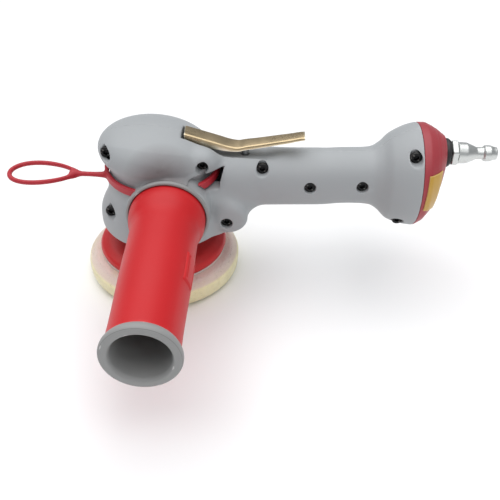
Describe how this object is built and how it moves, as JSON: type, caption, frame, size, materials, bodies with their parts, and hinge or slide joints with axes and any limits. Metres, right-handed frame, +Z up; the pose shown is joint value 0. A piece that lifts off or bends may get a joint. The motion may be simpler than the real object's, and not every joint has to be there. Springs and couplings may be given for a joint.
{
  "type": "rotary polisher",
  "caption": "Pneumatic two-handed rotary polisher: grey clamshell body with throttle lever, red hollow side grip, hanging strap, red backing plate and round cream pad.",
  "frame": {"origin": "middle of the pad's flat working face, which rests on the surface", "axes": "+Z up the spindle's axis, +X along the main handle to the air inlet, -Y along the side grip to its open mouth"},
  "size_m": [0.2914, 0.1955, 0.1048],
  "materials": {
    "housing_grey": "moulded, fine matt texture",
    "cuff_grey": "matt, soft touch",
    "grip_red": "satin moulded plastic",
    "cap_red": "satin moulded plastic",
    "plate_red": "satin polyurethane",
    "strap_red": "flexible, satin",
    "black_rubber": "matt",
    "screw_black": "blackened steel",
    "lever_gold": "yellow zinc plate, bright",
    "plug_steel": "nickel plate",
    "motor_steel": "ground",
    "gear_steel": "hardened, oiled",
    "end_plate_alloy": "machined",
    "pipe_brass": "drawn",
    "vane_fibre": "resin and fibre",
    "silencer_fibre": "sintered, porous",
    "label_ochre": "blank plate, satin",
    "pad_foam": "open-cell foam, cream",
    "hook_fleece": "hook-and-loop layer, off-white"
  },
  "bodies": {
    "housing": {"housing_front": "housing_grey", "housing_rear": "housing_grey", "housing_screw_1": "screw_black", "housing_screw_2": "screw_black", "housing_screw_3": "screw_black", "housing_screw_4": "screw_black", "housing_screw_5": "screw_black", "housing_screw_6": "screw_black", "housing_screw_7": "screw_black", "housing_screw_8": "screw_black", "housing_screw_9": "screw_black", "carry_strap": "strap_red", "grip_collar": "housing_grey", "lever_pin": "motor_steel", "valve_body": "end_plate_alloy", "valve_plug": "pipe_brass", "valve_spring": "motor_steel", "air_pipe": "pipe_brass", "end_cap": "cap_red", "end_label": "label_ochre", "inlet_grommet": "black_rubber", "inlet_plug": "plug_steel", "motor_cylinder": "motor_steel", "upper_end_plate": "end_plate_alloy", "upper_motor_bearing": "gear_steel", "lower_end_plate": "end_plate_alloy", "lower_motor_bearing": "gear_steel", "ring_gear": "gear_steel", "spindle_bearing": "gear_steel", "gearcase_cover": "end_plate_alloy"},
    "side_grip": {"side_grip": "grip_red", "grip_cuff": "cuff_grey", "exhaust_silencer": "silencer_fibre"},
    "throttle_lever": {"throttle_lever": "lever_gold"},
    "valve_stem": {"valve_stem": "motor_steel"},
    "rotor": {"rotor": "motor_steel", "sun_gear": "gear_steel", "motor_vane_1": "vane_fibre", "motor_vane_2": "vane_fibre", "motor_vane_3": "vane_fibre", "motor_vane_4": "vane_fibre", "motor_vane_5": "vane_fibre"},
    "spindle": {"spindle": "motor_steel", "planet_pin_1": "motor_steel", "planet_pin_2": "motor_steel", "planet_pin_3": "motor_steel", "backing_plate": "plate_red", "plate_washer": "motor_steel", "hook_layer": "hook_fleece", "polishing_pad": "pad_foam"},
    "planet_gear_1": {"planet_gear_1": "gear_steel"},
    "planet_gear_2": {"planet_gear_2": "gear_steel"},
    "planet_gear_3": {"planet_gear_3": "gear_steel"}
  },
  "joints": [
    {"name": "spindle_spin", "type": "hinge", "parent": "housing", "child": "spindle", "pos_m": [0, 0, 0.04], "axis": [0, 0, 1], "continuous": true},
    {"name": "rotor_spin", "type": "hinge", "parent": "housing", "child": "rotor", "pos_m": [0, 0, 0.078], "axis": [0, 0, 1], "continuous": true},
    {"name": "planet_spin_1", "type": "hinge", "parent": "spindle", "child": "planet_gear_1", "pos_m": [0.0135, 0, 0.062], "axis": [0, 0, 1], "continuous": true},
    {"name": "planet_spin_2", "type": "hinge", "parent": "spindle", "child": "planet_gear_2", "pos_m": [-0.00675, 0.01169, 0.062], "axis": [0, 0, 1], "continuous": true},
    {"name": "planet_spin_3", "type": "hinge", "parent": "spindle", "child": "planet_gear_3", "pos_m": [-0.00675, -0.01169, 0.062], "axis": [0, 0, 1], "continuous": true},
    {"name": "throttle_press", "type": "hinge", "parent": "housing", "child": "throttle_lever", "pos_m": [0.0232, 0, 0.0926], "axis": [0, 1, 0], "range_deg": [0, 6], "stiffness_Nm_per_rad": 0.5, "springref_deg": -11.46},
    {"name": "valve_travel", "type": "slide", "parent": "housing", "child": "valve_stem", "axis": [0, 0, -1], "range_m": [0, 0.0035], "deforming": ["valve_spring"]},
    {"name": "grip_swivel", "type": "hinge", "parent": "housing", "child": "side_grip", "pos_m": [0.009, -0.08, 0.0625], "axis": [0, 1, 0], "continuous": true}
  ],
  "couplings": [
    {"joint": "rotor_spin", "follows": "spindle_spin", "ratio": 4.5},
    {"joint": "planet_spin_1", "follows": "spindle_spin", "ratio": -2.8},
    {"joint": "planet_spin_2", "follows": "spindle_spin", "ratio": -2.8},
    {"joint": "planet_spin_3", "follows": "spindle_spin", "ratio": -2.8},
    {"joint": "valve_travel", "follows": "throttle_press", "m_per_rad": 0.03}
  ]
}
